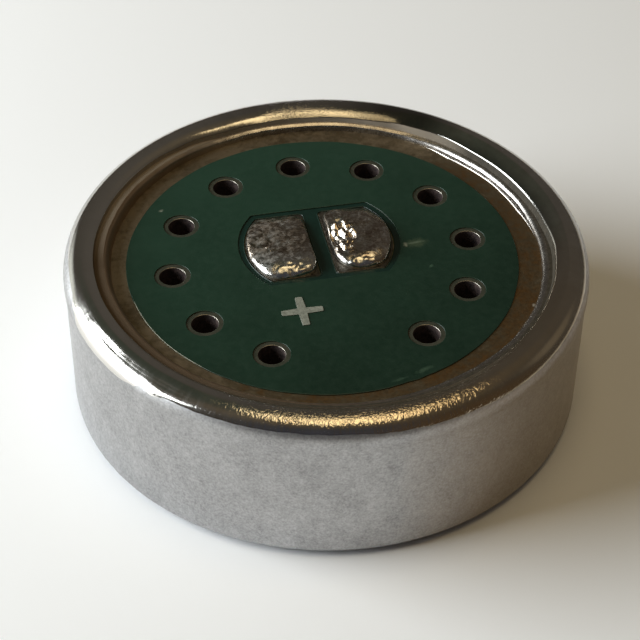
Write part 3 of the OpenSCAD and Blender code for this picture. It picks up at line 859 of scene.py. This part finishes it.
def drill_front(shell):
    """Cuts the seven sound holes through the front face."""
    holes = [circle_points(p, FRONT_HOLE_R, 40) for p in [(0, 0)] + circle_points((0, 0), FRONT_RING_R, 6)]
    drill = plate("drill", holes, Z_CASE - 0.2, Z_CASE + SHEET_T + 0.2, "wall", center=(0, 0))
    cut = shell.modifiers.new("holes", "BOOLEAN")
    cut.operation = "DIFFERENCE"
    cut.solver = "EXACT"
    cut.object = drill
    bpy.context.view_layer.objects.active = shell
    bpy.ops.object.modifier_apply(modifier=cut.name)
    bpy.data.objects.remove(drill)


# Board
PORTS = [polar((0, 0), PORT_RING_R, radians(270 + 30 * i)) for i in range(1, 12)]


def clip(points, start, end):
    """The part of a convex outline that lies left of the line from start to end."""
    dx, dy = end[0] - start[0], end[1] - start[1]
    side = [dx * (y - start[1]) - dy * (x - start[0]) for x, y in points]
    kept = []
    for a, b, here, after in zip(points, points[1:] + points[:1], side, side[1:] + side[:1]):
        if here >= 0:
            kept.append(a)
        if here * after < 0:
            t = here / (here - after)
            kept.append((a[0] + t * (b[0] - a[0]), a[1] + t * (b[1] - a[1])))
    return kept


def terminal_outline(grow):
    """Both terminals together: a circle cut flat at the front and the back."""
    radius = PAD_REACH + grow
    corner = degrees(asin((PAD_H / 2 + grow) / radius))
    return (arc(TERMINAL, radius, -corner, corner, 40)
            + arc(TERMINAL, radius, 180 - corner, 180 + corner, 40))


def round_corners(points, radius, steps=5):
    """Rounds the corners of an outline that turn by more than 30 degrees."""
    out = []
    for before, here, after in zip(points[-1:] + points[:-1], points, points[1:] + points[:1]):
        corner = Vector(here)
        a = Vector(before) - corner
        b = Vector(after) - corner
        turn = pi - a.angle(b)
        if degrees(turn) < 30:
            out.append(tuple(here))
            continue
        run = min(radius * tan(turn / 2), a.length * 0.45, b.length * 0.45)
        start = corner + a.normalized() * run
        end = corner + b.normalized() * run
        for t in (i / steps for i in range(steps + 1)):
            out.append(tuple(start * (1 - t) ** 2 + corner * 2 * t * (1 - t) + end * t * t))
    return out


def mirrored(outline):
    return [(2 * TERMINAL.x - x, y) for x, y in reversed(outline)]


def pad_outline(side, grow, corner=PAD_CORNER_R):
    """One terminal: side is -1 for the left one and 1 for the right one."""
    whole = terminal_outline(grow)
    if side > 0:
        whole = mirrored(whole)
    inner_edge = TERMINAL.x - PAD_GAP / 2 + grow
    left = clip(whole, (inner_edge, 0), (inner_edge, 1))
    thinned = [p for p, q in zip(left, left[1:] + left[:1]) if (Vector(p) - Vector(q)).length > 0.02]
    rounded = round_corners(thinned, corner + grow)
    return mirrored(rounded) if side > 0 else rounded


def bridge_outline():
    """The right terminal's bridge over the channel to the plane."""
    left = TERMINAL.x + PAD_REACH - 0.1
    right = left + CHANNEL_W + 0.2
    front = TERMINAL.y - BRIDGE_DROP - BRIDGE_W / 2
    return [(left, front), (right, front), (right, front + BRIDGE_W), (left, front + BRIDGE_W)]


def mask_edge_point(a, cut=0.0):
    """A point of the mask's nearly round outer edge, cut back by so much."""
    r = MASK_EDGE_R + 0.012 * ripple(a, 30, 2.2) - cut
    return polar(MASK_EDGE_OFF, r, a)


def mask_edge():
    """The mask's outer edge, ragged for a short way at the front right."""
    points = []
    for a in (tau * i / EDGE_POINTS for i in range(EDGE_POINTS)):
        ragged = max(0.0, 1 - abs(degrees(a) - RAGGED_AT) / RAGGED_REACH)
        points.append(mask_edge_point(a, ragged * (RAGGED_DEPTH + 0.05 * ripple(a, 70, 0.0))))
    return points


def lifted_painted_highlight():
    """A stretch of the mask's edge that stands up a little, its pale colour a painted highlight, thin at
    both ends.
    """
    shares = [i / 120 for i in range(121)]
    turns = [radians(LIFTED_START + LIFTED_LENGTH * t) + CAMERA_AZIMUTH for t in shares]
    curve = new_curve("lifted_painted_highlight", "3D", LIFTED_R, 2)
    places = [(BOARD.x + x, BOARD.y + y, Z_FACE - 0.012) for x, y in map(mask_edge_point, turns)]
    spline = add_line(curve, places, closed=False)
    for point, t in zip(spline.points, shares):
        point.radius = max(0.05, min(1.0, 5 * t, 3 * (1 - t)))
    return from_curve("lifted_painted_highlight", curve, "edge")


def make_mask():
    """Lacquer over the copper, and the lower, darker lacquer in the channel round the terminals."""
    z_channel = Z_FACE - CHANNEL_DEPTH
    channel = round_corners(terminal_outline(CHANNEL_W), 0.3)
    lands = [circle_points(p, PORT_LAND_R, 64) for p in PORTS]
    openings = [pad_outline(side, MASK_GAP) for side in (-1, 1)]
    parts = [plate("mask_upper", [mask_edge(), channel] + lands, Z_COPPER, Z_FACE, "mask", 0.012),
             shoulder("mask_rim", mask_edge()[::2], "mask", 0.015, Z_FACE),
             lifted_painted_highlight(),
             plate("mask_channel", [channel] + openings, Z_LAMINATE, z_channel, "channel", 0.004)]
    for side in (-1, 1):
        outline = pad_outline(side, MASK_GAP + 0.02)
        parts.append(shoulder("opening_edge", outline, "channel", 0.02, z_channel + 0.012))
    return settle(join("green_lacquer", parts), "mask_green", "solder_mask")


def port_barrel_section():
    """Plated sound hole: the land on top, a rounded lip and the wall down to the inner land."""
    top = Z_COPPER + 0.002
    under = Z_COPPER - 0.01
    return ([(PORT_LAND_R + 0.05, under), (PORT_LAND_R + 0.05, top)]
            + arc((PORT_R + PORT_LIP, top - PORT_LIP), PORT_LIP, 90, 180, LIP_ROWS)
            + [(PORT_R, (Z_COPPER + Z_INNER) / 2), (PORT_R, Z_INNER), (PORT_BORE_R, Z_INNER),
               (PORT_BORE_R, under)])


def make_ground_copper():
    """Rear plane, right terminal, plated sound holes, and the copper inside the capsule."""
    bores = [circle_points(p, PORT_BORE_R, 48) for p in PORTS]
    plane = [circle_points((0, 0), PLANE_R, 360), terminal_outline(CHANNEL_W)] + bores
    parts = [plate("plane", plane, Z_LAMINATE, Z_COPPER, "copper"),
             plate("right_terminal", [pad_outline(1, 0)], Z_LAMINATE, Z_COPPER, "pad", 0.01),
             plate("bridge", [bridge_outline()], Z_LAMINATE, Z_COPPER - BRIDGE_SUNK, "copper")]
    section = port_barrel_section()
    strips = [0, 0] + [1] * LIP_ROWS + [2] * (len(section) - LIP_ROWS - 2)
    parts += [lathe("barrel", section, 64, ["land", "plating", "bore"], strips, (BOARD.x + x, BOARD.y + y))
              for x, y in PORTS]
    copper = join("earth_copper", parts + inner_earth(bores))
    smooth_plate(copper)
    return settle(copper, "copper", "ground_copper")


def inner_earth(bores):
    """The plane under the sound holes, open at the front for the gate's spoke, and the land inside it."""
    outer_r = PORT_RING_R + PORT_LAND_R + 0.1
    inner_r = PORT_RING_R - PORT_LAND_R - 0.1
    opening = degrees(asin(0.5 / PORT_RING_R))
    outline = (arc((0, 0), outer_r, -90 + opening, 270 - opening, 180)
               + arc((0, 0), inner_r, 270 - opening, -90 + opening, 180))
    land = [(0.4, 0.05), (1.75, 0.05), (1.75, inner_r + 0.3), (0.4, inner_r + 0.3)]
    via = (TERMINAL.x + (PAD_REACH + PAD_GAP / 2) / 2, TERMINAL.y)
    return [plate("inner_plane", [outline] + bores, Z_INNER, Z_UNDER, "copper"),
            plate("inner_land", [land], Z_INNER, Z_UNDER, "copper"),
            plate("via", [circle_points(via, 0.25, 32)], Z_UNDER, Z_LAMINATE, "copper")]


def make_mark():
    """The plus sign: square-ended strokes, a little narrower towards their ends."""
    center = Vector(((mark_low.x + mark_high.x) / 2 - BOARD.x, (mark_low.y + mark_high.y) / 2 - BOARD.y))
    half = (mark_high.x - mark_low.x) / 2
    # Along the arm, and the share of the stroke's half width to its left there
    arm = ((half * 0.6, 0.93), (half - 0.03, 0.86), (half, 0.7), (half + 0.005, 0.0), (half - 0.005, -0.75),
           (half - 0.03, -0.86), (half * 0.6, -0.92))
    corners = [(MARK_STROKE, MARK_STROKE)] + [(x, MARK_STROKE * share) for x, share in arm]
    outline = []
    for quarter in (0, 270, 180, 90):
        turn = Matrix.Rotation(radians(quarter), 2)
        outline += [tuple(center + turn @ Vector(p)) for p in corners]
    mark = plate("plus_sign", [outline], Z_FACE, mark_high.z, "ink", 0.006)
    return settle(mark, "ink", "polarity_mark")


# Solder
def ray_out(outline, center, direction):
    """Distance from the centre to a closed outline in one direction."""
    best = None
    for (ax, ay), (bx, by) in zip(outline, outline[1:] + outline[:1]):
        ex, ey = bx - ax, by - ay
        det = direction[0] * -ey + direction[1] * ex
        if abs(det) < 1e-12:
            continue
        qx, qy = ax - center[0], ay - center[1]
        t = (qx * -ey + qy * ex) / det
        s = (direction[0] * qy - direction[1] * qx) / det
        if t > 0 and -1e-9 <= s <= 1 + 1e-9 and (best is None or t < best):
            best = t
    return best


def reaches_of(outline, apex, turns):
    """How far a mound reaches in each direction: to the outline, smoothed over its corners."""
    reaches = [ray_out(outline, apex, (cos(a), sin(a))) for a in turns]
    count = len(turns)
    for _ in range(3):
        reaches = [sum(reaches[(k + d) % count] for d in range(-5, 6)) / 11 for k in range(count)]
    return reaches


def make_dome(name, material, apex, outline, height, slopes, lumps, dots, crumples):
    """Solder on one terminal: a lumpy mound, nearly flat on top and steep at its edge.

    slopes lower it towards a direction in the camera's degrees: (direction, sharpness, share of the height
    that it loses, share of the way out at which it starts); lumps is the height of its unevenness, dots are
    small beads on its surface, and crumples ellipses with a coarse relief."""
    spokes, rings = DOME_SPOKES, DOME_RINGS
    points = [(BOARD.x + apex[0], BOARD.y + apex[1], Z_COPPER + height)]
    seed = 3.1 + apex[0]
    turns = [tau * k / spokes for k in range(spokes)]
    reaches = reaches_of(outline, apex, turns)
    for s in ((j / rings) ** 0.75 for j in range(1, rings + 1)):
        for a, reach in zip(turns, reaches):
            x, y = apex[0] + cos(a) * reach * s, apex[1] + sin(a) * reach * s
            body = 1.0
            for toward, sharpness, share, start in slopes:
                lobe = max(0.0, cos(a - CAMERA_AZIMUTH - radians(toward))) ** sharpness
                body -= share * lobe * max(0.0, (s - start) / (1 - start)) ** 1.5
            body = max(0.1, body) * max(0.0, 1 - s ** 28) ** 0.5
            place = Vector((x, y, seed))
            bumps = lumps * (noise.noise(place * 2.0) + 0.6 * noise.noise(place * 5.0)
                             + 0.25 * noise.noise(place * 12))
            for dx, dy, r in dots:
                bumps += 0.8 * r * exp(-((x - dx) ** 2 + (y - dy) ** 2) / (r * r))
            for cx, cy, rx, ry, depth in crumples:
                inside = max(0.0, 1 - ((x - cx) / rx) ** 2 - ((y - cy) / ry) ** 2)
                bumps += depth * min(1.0, 2 * inside) * noise.noise(Vector((x * 6.4, y * 4.8, seed)))
            z = height * body + bumps * min(1.0, 3 * body)
            points.append((BOARD.x + x, BOARD.y + y, Z_COPPER + max(0.0, z)))
    faces = [(0, 1 + k, 1 + (k + 1) % spokes) for k in range(spokes)]
    for base in range(1, 1 + (rings - 1) * spokes, spokes):
        for k in range(spokes):
            n = (k + 1) % spokes
            faces.append((base + k, base + spokes + k, base + spokes + n, base + n))
    last = 1 + (rings - 1) * spokes
    faces.append(tuple(last + k for k in reversed(range(spokes))))
    return piece(name, points, faces, material)


def make_solder():
    """Both bumps; the right one leaves its terminal's front corner bare."""
    left = pad_outline(-1, -0.02, 0.3)
    right = clip(pad_outline(1, -0.06, 0.3), (0.285, -0.013), (0.52, -0.468))
    left = make_dome(
        "left_solder", "solder", (-1.2, 0.75), left, 0.31,
        slopes=((278, 8, 0.50, 0.72), (215, 3, 0.60, 0.15), (20, 2, 0.2, 0.5), (100, 2, 0.9, 0.45)),
        lumps=0.018,
        dots=((-1.08, -0.37, 0.03), (-1.62, 0.47, 0.03), (-1.55, 0.30, 0.025)),
        crumples=((-1.0, -0.66, 0.6, 0.26, 0.05),))
    settle(left, "solder", "positive_solder")
    right = make_dome(
        "right_solder", "crumpled", (1.5, 0.95), right, 0.33,
        slopes=((283, 8, 0.48, 0.72), (212, 3, 0.50, 0.2), (20, 2, 0.3, 0.4), (100, 2, 0.8, 0.45)),
        lumps=0.014,
        dots=(),
        crumples=((0.80, 0.60, 0.45, 0.85, 0.15), (1.1, -0.70, 0.6, 0.25, 0.05)))
    settle(right, "solder", "ground_solder")


# Cloth
def make_felt():
    """Front cloth: a thin disc with a ragged, fibrous edge."""
    center = (felt_low + felt_high) / 2
    top = Z_CASE

    def section(angle):
        rough = 0.05 * noise.noise(Vector((40 * cos(angle), 40 * sin(angle), 0.5)))
        rough += 0.02 * noise.noise(Vector((160 * cos(angle), 160 * sin(angle), 4.5)))
        r = FELT_R + rough - 0.03
        return [(0.01, 0.0), (r * 0.5, 0.0), (r - 0.04, 0.004), (r, 0.05), (r - 0.01, top * 0.7),
                (r - 0.03, top), (r * 0.5, top), (0.01, top)]

    felt = lathe("front_cloth", section, EDGE_POINTS, "cloth", center=(center.x, center.y))
    return settle(felt, "black_cloth", "front_felt")


# Stage
def add_camera():
    e = CAMERA_ELEVATION
    right = seen(1, 0)
    up = seen(0, sin(e), cos(e))
    back = seen(0, -cos(e), sin(e))
    c, s = cos(CAMERA_ROLL), sin(CAMERA_ROLL)
    turned_right = right * c + up * s
    turned_up = up * c - right * s
    place = Vector((0, 0, Z_FACE)) + back * CAMERA_DISTANCE + right * CAMERA_SIDE + up * CAMERA_UP
    data = bpy.data.cameras.new("camera")
    data.sensor_width = SENSOR
    data.lens = LENS
    data.clip_start = 0.001
    data.clip_end = 10
    camera = add_object("camera", data)
    rotation = Matrix((turned_right, turned_up, back)).transposed().to_4x4()
    camera.matrix_world = Matrix.Translation(place * MM) @ rotation
    bpy.context.scene.camera = camera


def add_floor():
    MATERIALS["floor"] = new_look("floor").dress((0.945, 0.955, 0.975, 1), 0.9, specular=0.1)
    corners = [(x * FLOOR_HALF, y * FLOOR_HALF, 0) for x, y in ((-1, -1), (1, -1), (1, 1), (-1, 1))]
    floor = piece("floor", corners, [(0, 1, 2, 3)], "floor", smooth=False)


def add_area_light(name, azimuth, elevation, across, width, height, distance, radiance, colour):
    """An area light that fills width by height degrees of the sky, seen from the part.

    azimuth, and across, the direction that its width runs in, are measured from the camera's right,
    counter-clockwise; radiance 1 is white."""
    toward = sky(azimuth, elevation)
    side = sky(across, 0)
    side = (side - toward * side.dot(toward)).normalized()
    data = bpy.data.lights.new(name, "AREA")
    data.shape = "RECTANGLE"
    data.size = 2 * distance * tan(radians(width / 2)) * MM
    data.size_y = 2 * distance * tan(radians(height / 2)) * MM
    data.energy = radiance * pi * data.size * data.size_y
    data.color = colour
    light = add_object(name, data)
    turn = Matrix((side, toward.cross(side), toward)).transposed().to_4x4()
    light.matrix_world = Matrix.Translation((Vector((0, 0, Z_CREST)) + toward * distance) * MM) @ turn


def add_world():
    """A dim room: a warm grey, with brighter and darker parts where the metal shows them."""
    world = bpy.data.worlds.new("room")
    look = Look(world)
    direction = look.put("ShaderNodeTexCoord", {}).outputs["Generated"]
    colour = (*ROOM_BASE, 1)
    for azimuth, elevation, inner, outer, tint in ROOM:
        toward = look.dot(direction, sky(azimuth, elevation))
        near = look.spread(toward, cos(radians(outer)), cos(radians(inner)))
        colour = look.stain(colour, near, tint)
    look.fill(look.tree.nodes["Background"], {"Color": colour, "Strength": 1.0})
    bpy.context.scene.world = world


add_camera()
for node, key in NODE_MATERIALS.items():
    paint(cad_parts[node].data, key)
make_case()
make_mask()
make_ground_copper()
make_mark()
make_solder()
make_felt()
add_floor()
add_world()
add_area_light("window", 180.5, 21.5, 90, 46, 40, 120, 9.9, (0.935, 0.985, 1.0))
add_area_light("ceiling", 338, 85.4, 0, 26.5, 32, 400, 1.9, (1.0, 0.77, 0.42))
bpy.context.scene.view_settings.view_transform = "Standard"
